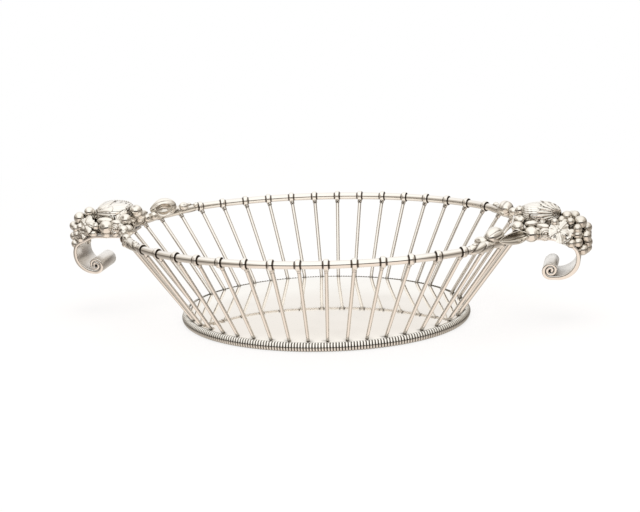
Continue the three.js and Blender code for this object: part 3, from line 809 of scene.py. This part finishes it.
def spoon_leaf(bm, side, start, end):
    """A pointed leaf along the rod's outer side, hollowed like a spoon towards the outside."""
    wall = 0.6

    def place(s, t):
        share = side * (start + (end - start) * s) / UPRIGHTS
        width = math.sin(math.pi * within(s, 0.01, 0.99)) ** 0.6
        lip = 1.3 * math.exp(-((t - 0.06) / 0.07) ** 2) * width
        climb = -1.6 + 7.6 * t * width + (1 - width) * 2.6 + 2.2 * s * s - 2.2 * (1 - s) ** 2
        hollow = math.sin(math.pi * t) ** 0.8 * width
        return rod_ring(share, 6.0 - 3.0 * hollow - 0.8 * s + lip, climb)

    def in_hollow(s, t):
        # Painted shade, with tarnish, in the spoon's hollow.
        return 0.8 * max(math.sin(math.pi * t) - 0.45, 0) / 0.55 * math.sin(math.pi * s)
    leaf_skin(bm, 40, 28, place, wall, in_hollow)
    stations = [k / 16 for k in range(17)]
    lip_radii = [0.4 + 1.6 * math.sin(math.pi * s) ** 0.6 for s in stations]
    rope(bm, [place(s, 0.04) for s in stations], lip_radii)


def mound(bm):
    """The cast bed that the fruit grows from."""
    lumps = ((11, (9, 9.5, 3.6)), (19, (10, 10, 4.2)), (27, (8, 9.0, 4.0)), (33, (6, 8.5, 3.2)))
    for travelled, size in lumps:
        point, rise = on_strap(travelled, 1.0)
        ball(bm, point, size, rise)


# Places on the handles are (u, v, z).

# Small leaves along both edges of the strap: place, heading, length, lobes.
EDGE_LEAVES = [
    ((157, 10, 74.5), 60, 13, 3),
    ((163, 10.5, 72.5), 90, 12, 3),
    ((162.5, 14, 64.6), 95, 9, 3),
    ((180, 13.6, 64), 60, 9, 5),
]

# Broad leaves on both sides: place, the way the leaf faces, roll, radius.
VINE_LEAVES = {
    "right": [((176, 16.4, 70.4), (0.22, 0.78, 0.56), -20, 9.4),
              ((181, 15.6, 64.4), (0.3, 0.8, 0.46), 30, 5.8)],
    "left": [((180.6, 14.6, 73.6), (0.25, 0.78, 0.56), 15, 8.6),
             ((183.6, 15.6, 67.4), (0.3, 0.8, 0.46), 70, 6.4)],
}
BUDS = {"right": ((166.8, 14.6, 67.6), 4.8), "left": ((157, 15, 70.4), 4.2)}

# Grapes as u, v, z and radius.
GRAPES = {
    "right": [
        (180.8, -2, 77.4, 3.9), (186, 4.5, 76.2, 3.7), (179.6, -6, 73, 3.8),
        (178.4, 2, 74.6, 4.2), (177.2, -4.6, 75.2, 3.3), (190.2, -4, 73.6, 4.7),
        (194.2, 1.5, 68.4, 4), (183.6, -8.5, 75.2, 2.9), (188.1, -9.2, 65.8, 4),
        (193.9, -5, 63.8, 4.2), (188.7, -11.6, 61, 3.6), (194.6, -2.4, 58.9, 4.1),
        (184.4, -14, 60.9, 3.3), (192, -8, 54.8, 4.1), (195, -2.5, 55, 3.3),
        (183.4, -3, 70.4, 4.4), (188, 9, 70.4, 4.2), (184, 9.8, 75, 3.6),
        (193.4, 7.4, 63, 4.3), (192.4, 9.6, 56.8, 4.1), (193.6, 3.4, 52.6, 3.7),
        (187, 12.4, 63.2, 3.7), (184.2, -11, 67.6, 3.5), (188.4, -9.6, 70.4, 3.4),
    ],
    "left": [
        (180.6, 4, 81, 4.1), (188.6, 5, 76.6, 4.7), (194.9, 3, 69.8, 3.8),
        (190.6, 8.6, 69.1, 3.4), (195.2, 4, 61.9, 3.6), (189.4, 9, 64.1, 4.2),
        (194.8, -3, 65.2, 4), (190, -5, 73, 4.3), (183.4, -6, 77, 4),
        (192.8, -8.6, 62, 4.1), (187.6, -10, 68, 4), (193, -4.4, 56, 3.8),
        (192.6, 8.6, 57, 3.6), (193.6, 2.6, 53, 3.4), (186.2, 12.4, 62.4, 3.5),
        (185.4, 11.6, 71, 3.4), (184.6, 2, 71, 4.4), (187.2, -12.4, 60.8, 3.6),
        (191.6, -9.6, 54.6, 3.2), (183.6, -12.6, 66, 3.4),
    ],
}

# Other fruit: place, radii, the way the stalk end faces, its dimple, and any seams.
PLUMS = {
    "right": [
        ((147.6, -3, 81), (3.6, 3.3, 4.9), (0.2, -0.3, 1), 0.12),
        ((148.1, -5.6, 75.8), (4.5, 4.2, 3.6), (0, -0.6, 1), 0.1),
        ((147.2, -12.4, 72.1), (4.4, 4.4, 4.4), (0.5, -0.8, -0.3), 0.16),
        ((156.8, -13.2, 67.4), (5.9, 5.7, 5.9), (0.6, 0.4, 0.8), 0.1),
        ((151.6, -10.6, 71), (2.6, 2.4, 2.6), (0, -0.6, 1), 0.1),
        ((173, -12.4, 75.6), (2.7, 2.6, 3.2), (0.1, -0.5, 1), 0),
        ((175.9, -14.6, 66.8), (2.3, 2.3, 2.6), (0, -1, 0), 0.1),
        ((147.6, 12, 76.6), (4.3, 4.3, 4.3), (0, 0.8, 0.6), 0.12),
        ((156.5, 13, 68), (5.1, 5.1, 5.1), (0.2, 1, 0.2), 0.1),
        ((151.2, 3, 74.6), (4.4, 4.4, 4.2), (0, 0.4, 1), 0.1),
        ((172.8, 9.4, 75.6), (3, 3, 3), (0, 0.5, 1), 0),
        ((157.2, -10.2, 74.2), (5.2, 2.6, 2.4), (0.1, -0.4, 1), 0),
        ((164.6, -11.4, 72.4), (5.4, 2.6, 2.4), (-0.1, -0.4, 1), 0),
        ((160, -13.4, 70.2), (4.4, 2, 1.9), (0.2, -0.5, 1), 0),
        ((161, 12, 72.6), (6.4, 2.8, 2.6), (0, 0.4, 1), 0),
    ],
    "left": [
        ((143.4, 1.6, 81.3), (5, 4.7, 4.9), (0.1, 0.5, 1), 0.12),
        ((141.6, -1.6, 77.6), (3.9, 4.2, 4), (-0.6, 0.2, 1), 0.1),
        ((148.4, 11.4, 76.9), (4.5, 4.4, 4.3), (0.3, 0.8, 0.6), 0.14),
        ((163.8, 13.8, 71.6), (5.8, 5.4, 5.3), (0.2, 1, 0.3), 0.08),
        ((164.4, 13.4, 66.6), (4.5, 3.8, 3.6), (0, 1, -0.2), 0),
        ((145.4, 16.8, 69.8), (4.7, 4.6, 4.6), (0.3, 0.9, -0.1), 0.16),
        ((156.8, 14.2, 67), (3.3, 3, 3), (0, 1, 0), 0.1),
        ((157, -13, 68), (5, 5, 5), (0.2, -1, 0.2), 0.1),
        ((147.4, -11.5, 73), (4.4, 4.4, 4.4), (0, -0.8, 0.6), 0.12),
        ((150.8, -3, 74.4), (4.6, 4.6, 4.4), (0, -0.4, 1), 0.1),
        ((155.6, 12.4, 74.6), (5, 2.6, 2.4), (0, 0.5, 1), 0),
        ((165.4, 11.8, 76.2), (6.4, 2.8, 2.4), (0, 0.5, 1), 0),
        ((172.6, 13.4, 72.2), (3.4, 3.2, 3.4), (0.2, 0.8, 0.5), 0.1),
        ((151.4, 14, 72), (3.4, 3, 3), (0, 0.8, 0.5), 0.1),
        ((174.8, 15.2, 67), (3.6, 2.6, 2.8), (0.2, 0.9, 0.3), 0),
    ],
}

ROD_FRUIT = {
    "right_front": [
        ((125.4, -49, 71.4), (5, 3.4, 3.3), (-0.4, -0.7, 0.5), 0.12),
        ((127.8, -49.6, 68.4), (3.2, 3, 2.7), (0, -1, -0.2), 0),
        ((132.8, -42.5, 69.4), (2.6, 2.6, 2.6), (0, -1, 0.2), 0.14),
        ((135.6, -42.2, 67), (2.2, 2.2, 2.2), (0.3, -1, 0), 0.14),
        ((130.6, -45.4, 67), (2.1, 2.1, 2.1), (0.3, -1, 0), 0.14),
        ((138.4, -38.6, 66.6), (2.5, 2.4, 2.2), (0.3, -1, 0), 0.14),
        ((143, -30.6, 67.4), (3.4, 3, 2.8), (0.3, -1, 0.2), 0.1),
        ((126.6, -54, 67.6), (2.2, 2, 1.9), (0.3, -1, 0), 0.14),
        ((147, -22, 67.6), (3.8, 3.4, 3), (0.3, -1, 0.2), 0.1),
    ],
    "right_back": [
        ((133.6, 40, 72.6), (6, 6.4, 6), (-0.5, -0.6, -0.5), 0.12, 5),
        ((124.4, 57.6, 71.4), (2.3, 2.3, 2.2), (0, 0, 1), 0.14),
        ((140.6, 27.4, 73.6), (3.2, 3.2, 3.2), (0, 0, 1), 0.1),
    ],
    "left_back": [
        ((136.4, 41.8, 70.4), (3.4, 3.3, 3.3), (0.1, 1, 0.3), 0.16),
        ((141.4, 34.6, 69.6), (3.1, 3, 3), (0.3, 1, 0.2), 0.14),
        ((131.2, 48.2, 69.8), (2.8, 2.7, 2.6), (0, 1, 0.3), 0.14),
        ((138.4, 41, 65.8), (2.4, 2.4, 2.3), (0, 1, 0), 0.14),
        ((143.6, 31, 67.2), (2.3, 2.2, 2.2), (0.2, 1, 0), 0.14),
        ((128, 52.8, 68.2), (2.2, 2.1, 2), (0, 1, 0.2), 0.14),
        ((146.6, 22, 71.2), (4, 3.9, 3.8), (0.2, 1, 0.2), 0.16),
        ((147.4, 24, 68.6), (2.6, 2.6, 2.4), (0.3, 1, 0), 0.14),
        ((133.4, 47, 66.2), (2.2, 2.2, 2.1), (0, 1, 0), 0.14),
        ((140.6, 36, 73.2), (2.2, 2.2, 2.1), (0, 0.6, 1), 0.14),
    ],
    "left_front": [
        ((124.6, -52, 72), (3.9, 3.2, 3), (-0.4, 0.6, 0.5), 0.1),
        ((140.3, -27, 70.4), (3.3, 3.3, 3.3), (-0.5, 0.8, 0), 0.1),
        ((143.2, -19, 70.4), (3, 3, 3), (-0.6, 0.8, 0.2), 0.16),
        ((117.4, -60.6, 71), (2.2, 2, 1.9), (0, 0, 1), 0.14),
    ],
}

# Hollow fruit: place, the way it lies, radii, the way its mouth faces.
PODS = {
    "right_front": ((134.2, -40.8, 73.2), (-0.5, -0.86, 0), (9.2, 6.5, 6), (-0.86, 0.5, 0.1)),
    "left_front": ((134.6, -32.6, 75.4), (-0.5, -0.86, 0.14), (10.6, 7.8, 6.2), (-0.4, 0.88, -0.1)),
}

# Leaves on the rod as start and end, counted in bays from the handle's middle.
ROLLED_LEAVES = {"right_front": (2.75, 3.75), "right_back": (0.28, 3.55),
                 "left_front": (0.28, 3.75), "left_back": (2.7, 3.7)}
SPOON_LEAVES = {"right_front": (0.75, 2.6), "right_back": (0.5, 1.3), "left_front": (0.4, 1.6)}
STEMS = {"right_front": [(142, 16, 73.8), (142.6, 6, 72.6), (142.4, -5, 71.6),
                         (139.6, -18, 71), (137.2, -33, 69.2)]}
STEM_RADII = (0.475, 0.95, 0.95, 0.95, 0.3325)


def laid(point, face, side, roll):
    """Matrix of a leaf on one side of the strap."""
    (u, v, z), (nu, nv, nz) = point, face
    return facing((u, side * v, z), (nu, side * nv, nz), math.radians(roll))


def leaf_spray(bm, hand):
    """The leaves and buds over the strap's root, on their bed."""
    mound(bm)
    fan_form(bm, hand)
    for side in (-1, 1):
        for point, heading, length, lobes in EDGE_LEAVES:
            edge_leaf(bm, laid(point, (0.15, 0.85, 0.5), side, heading), length, lobes)
        for point, face, roll, radius in VINE_LEAVES[hand]:
            palm_leaf(bm, laid(point, face, side, roll), radius)
        (u, v, z), radius = BUDS[hand]
        rosebud(bm, (u, side * v, z), (0.1, side, 0.15), radius)


def heap(bm, rows):
    for point, radii, axis, dimple, *seams in rows:
        ball(bm, point, radii, axis, dimple, *seams, sides=36, rings=20)


def bunch(bm, grapes):
    """Grapes, a little longer than thick, whose stalk ends face up and outwards."""
    heap(bm, [((u, v, z), (radius, radius, radius * 1.04), (0.6, 0.05 * v, 0.6), 0)
              for u, v, z, radius in grapes])


def garland(bm, name, side):
    """A rolled leaf on the rod at one side of a handle, and the fruit on it."""
    start, end = ROLLED_LEAVES[name]
    rod_leaf(bm, side, start, end)
    heap(bm, ROD_FRUIT[name])
    tip = rod_ring(side * (end - 0.22) / UPRIGHTS, 0.6, ROD_RADIUS + 0.6)
    ball(bm, tip, (1.8, 1.5, 1.2), dimple=0.2)
    if name in PODS:
        pod(bm, *PODS[name])
    if name in SPOON_LEAVES:
        spoon_leaf(bm, side, *SPOON_LEAVES[name])
    if name in STEMS:
        rope(bm, STEMS[name], STEM_RADII)


# The left strap takes the lighter copy of the satin: painted light.
STRAP_FINISH = {"right": satin, "left": painted_lighter_satin}
# The right grapes take the darker copy of the cast finish: painted shade.
GRAPE_FINISH = {"right": painted_darker_cast, "left": cast}


def make_handle(hand, turn):
    """A handle's pieces, each given as piece, node, form and finish."""
    front, back, line = f"{hand}_front", f"{hand}_back", STRAP_LINES[hand]
    forms = [
        ("scroll_roll", "scroll_strap", lambda bm: strap_form(bm, line), STRAP_FINISH[hand]),
        ("melon_cast", "ribbed_melon", lambda bm: melon_form(bm, hand), melon_silver),
        ("leaf_spray_cast", "vine_leaves", lambda bm: leaf_spray(bm, hand), cast),
        ("grapes_cast", "grape_bunch", lambda bm: bunch(bm, GRAPES[hand]), GRAPE_FINISH[hand]),
        ("plums_cast", "crown_plums", lambda bm: heap(bm, PLUMS[hand]), cast),
        ("front_garland_cast", "front_garland", lambda bm: garland(bm, front, -1), cast),
        ("back_garland_cast", "back_garland", lambda bm: garland(bm, back, 1), cast),
    ]
    for name, node, form, finish in forms:
        bm = blank()
        form(bm)
        slot = "wrought_silver" if node == "scroll_strap" else "cast_silver"
        piece(f"{hand}_{name}", bm, [f"{hand}_{node}"], finish, turn=turn)


make_rim_rod()
make_plate()
make_band()
for upright_number in range(UPRIGHTS):
    make_upright(upright_number)
make_handle("right", 0.0)
make_handle("left", math.pi)


# ---- painted occlusion shade, kept with the tarnish marks: how closed in each point is ----
# From here on all lengths are in metres.

OCCLUSION_REACH = 0.005
OCCLUSION_STANDOFF = 0.00012
OCCLUSION_DIRECTIONS = 16
OCCLUSION_SHADE_STRENGTH = 0.8


def spread_directions(count):
    """Directions spread evenly over the upper half of a ball."""
    golden = math.pi * (3 - math.sqrt(5))
    directions = []
    for i in range(count):
        z = 1 - (i + 0.5) / count
        radius = math.sqrt(1 - z * z)
        directions.append(Vector((radius * math.cos(golden * i), radius * math.sin(golden * i), z)))
    return directions


def paint_shade_and_tarnish():
    """Paints occlusion shade from how much the pieces and the table close in each point, keeping
    the marked tarnish and shade where that is more.
    """
    verts, faces = [], []
    for thing in made_pieces:
        start = len(verts)
        verts.extend(vert.co.copy() for vert in thing.data.vertices)
        faces.extend([start + i for i in face.vertices] for face in thing.data.polygons)
    start = len(verts)
    verts.extend(Vector((x, y, 0)) for x, y in ((-1, -1), (1, -1), (1, 1), (-1, 1)))
    faces.append([start, start + 1, start + 2, start + 3])
    tree = BVHTree.FromPolygons(verts, faces)
    directions = spread_directions(OCCLUSION_DIRECTIONS)
    for thing in made_pieces:
        mesh = thing.data
        layer = mesh.attributes.new("occlusion_shade_and_tarnish", "FLOAT", "POINT")
        tarnish_and_shade = mesh.attributes["tarnish_and_shade"].data
        values = []
        for vert in mesh.vertices:
            surface_turn = vert.normal.to_track_quat("Z", "Y")
            start = vert.co + vert.normal * OCCLUSION_STANDOFF
            shut = weight = 0.0
            for direction in directions:
                hit = tree.ray_cast(start, surface_turn @ direction, OCCLUSION_REACH)[3]
                weight += direction.z
                if hit is not None:
                    shut += direction.z * (1 - hit / OCCLUSION_REACH)
            values.append(max(OCCLUSION_SHADE_STRENGTH * shut / weight, tarnish_and_shade[vert.index].value))
        layer.data.foreach_set("value", values)


paint_shade_and_tarnish()


# ---- table, light and camera ----

def make_table():
    """A warm cloth under the basket that fades into white paper in the camera's eye."""
    bm = bmesh.new()
    bmesh.ops.create_circle(bm, cap_ends=True, segments=96, radius=4.0)
    mesh = bpy.data.meshes.new("table")
    bm.to_mesh(mesh)
    bm.free()
    table = bpy.data.objects.new("table", mesh)
    bpy.context.scene.collection.objects.link(table)
    material = bpy.data.materials.new("white_table")
    graph = Graph(material)
    seen = graph.node("ShaderNodeLightPath", output=IS_CAMERA_RAY)
    place = graph.node("ShaderNodeTexCoord", output=OBJECT_COORDINATES)
    far = graph.fade(graph.vector_maths("LENGTH", place), 0.15, 0.7, 0.8, 1.0)
    cloth = graph.node("ShaderNodeBsdfDiffuse", None, {"Color": (0.86, 0.8, 0.755, 1)})
    paper = graph.node("ShaderNodeEmission", None, {"Color": (1, 1, 1, 1), "Strength": 1.0})
    shown = graph.node("ShaderNodeMixShader", None, [seen * far, cloth, paper])
    graph.node("ShaderNodeOutputMaterial", None, [shown])
    mesh.materials.append(material)
    table.visible_glossy = False


# The tent's walls, as colours from straight down (-1) to straight up (1).
PEACH, GAP, WHITE = (0.97, 0.86, 0.77), (0.04, 0.034, 0.03), (1.16, 1.15, 1.12)
TENT_FRONT = [(-1, PEACH), (-0.2, PEACH), (-0.16, GAP), (0.18, GAP), (0.23, WHITE), (1, WHITE)]
TENT_SIDES = [(-1, (0.92, 0.81, 0.72)), (-0.8, (0.62, 0.555, 0.49)), (-0.5, (0.46, 0.42, 0.375)),
              (-0.1, (0.24, 0.21, 0.185)), (0.12, (0.13, 0.11, 0.09)), (0.2, (0.5, 0.46, 0.41)),
              (0.55, (0.66, 0.615, 0.555)), (0.75, (1.04, 1.01, 0.97)), (1, WHITE)]
TENT_BACK = [(-1, (0.7, 0.65, 0.6)), (-0.22, (0.55, 0.53, 0.49)), (-0.17, (1.0, 0.99, 0.97)),
             (0.2, (1.03, 1.03, 1.02)), (0.3, (0.97, 0.955, 0.94)), (0.6, (0.95, 0.93, 0.91)),
             (1, WHITE)]
ACROSS_THE_VIEW, INTO_THE_VIEW = (0.97, 0.243, 0), (-0.243, 0.97, 0)


def make_world():
    """What the silver mirrors: a white tent with a dark gap where the camera looks in."""
    world = bpy.data.worlds.new("studio")
    bpy.context.scene.world = world
    graph = Graph(world)
    towards = graph.node("ShaderNodeTexCoord", output=WORLD_DIRECTION)
    height = graph.node("ShaderNodeSeparateXYZ", None, [towards], 2) * 0.5 + 0.5
    aside = graph.vector_maths("DOT_PRODUCT", towards, ACROSS_THE_VIEW) * 1.05 + 0.09
    away = graph.vector_maths("DOT_PRODUCT", towards, INTO_THE_VIEW)

    def wall(stops):
        stops = [((level + 1) / 2, colour) for level, colour in stops]
        return graph.node("ShaderNodeValToRGB", {"stops": stops}, [height])
    front, sides, back = wall(TENT_FRONT), wall(TENT_SIDES), wall(TENT_BACK)
    by_side = graph.fade(graph.maths("ABSOLUTE", aside), 0.42, 0.7, 0.0, 1.0)
    behind = graph.fade(away, 0.0, 0.35, 0.0, 1.0)
    tent = graph.mix(by_side, graph.mix(behind, front, back), sides)
    mirrored = graph.node("ShaderNodeLightPath", output=IS_GLOSSY_RAY)
    colour = graph.mix(mirrored, (1, 1, 1, 1), tent)
    studio = graph.node("ShaderNodeBackground", None, {"Color": colour, "Strength": 1.0})
    graph.node("ShaderNodeOutputWorld", None, [studio])


def make_lamp():
    """A round softbox over the basket, which the silver doesn't mirror."""
    data = bpy.data.lights.new("overhead_softbox", "AREA")
    data.shape, data.size, data.energy = "DISK", 0.9, 6.0
    lamp = bpy.data.objects.new("overhead_softbox", data)
    lamp.location = (0.1, -0.1, 1.1)
    lamp.visible_glossy = False
    bpy.context.scene.collection.objects.link(lamp)


def make_camera():
    """The photograph's own viewpoint, with its slight lean."""
    yaw, lift, lean = math.radians(14.059), math.radians(15.538), math.radians(-3.352)
    aim_across, aim_height, distance = 0.00503, 0.04478, 0.9686
    right = Vector((math.cos(yaw), math.sin(yaw), 0))
    back = Vector((math.sin(yaw) * math.cos(lift), -math.cos(yaw) * math.cos(lift), math.sin(lift)))
    up = back.cross(right)
    across = right * math.cos(lean) + up * math.sin(lean)
    above = up * math.cos(lean) - right * math.sin(lean)
    target = Vector((aim_across * math.cos(yaw), aim_across * math.sin(yaw), aim_height))
    data = bpy.data.cameras.new("camera")
    data.sensor_width, data.lens = 36.0, 72.91
    data.shift_x, data.shift_y = -0.0129, 0.0022
    data.clip_start, data.clip_end = 0.05, 20
    camera = bpy.data.objects.new("camera", data)
    turn = Matrix((across, above, back)).transposed().to_4x4()
    camera.matrix_world = Matrix.Translation(target + back * distance) @ turn
    bpy.context.scene.collection.objects.link(camera)
    bpy.context.scene.camera = camera


make_table()
make_world()
make_lamp()
make_camera()
bpy.context.scene.view_settings.view_transform = "Standard"
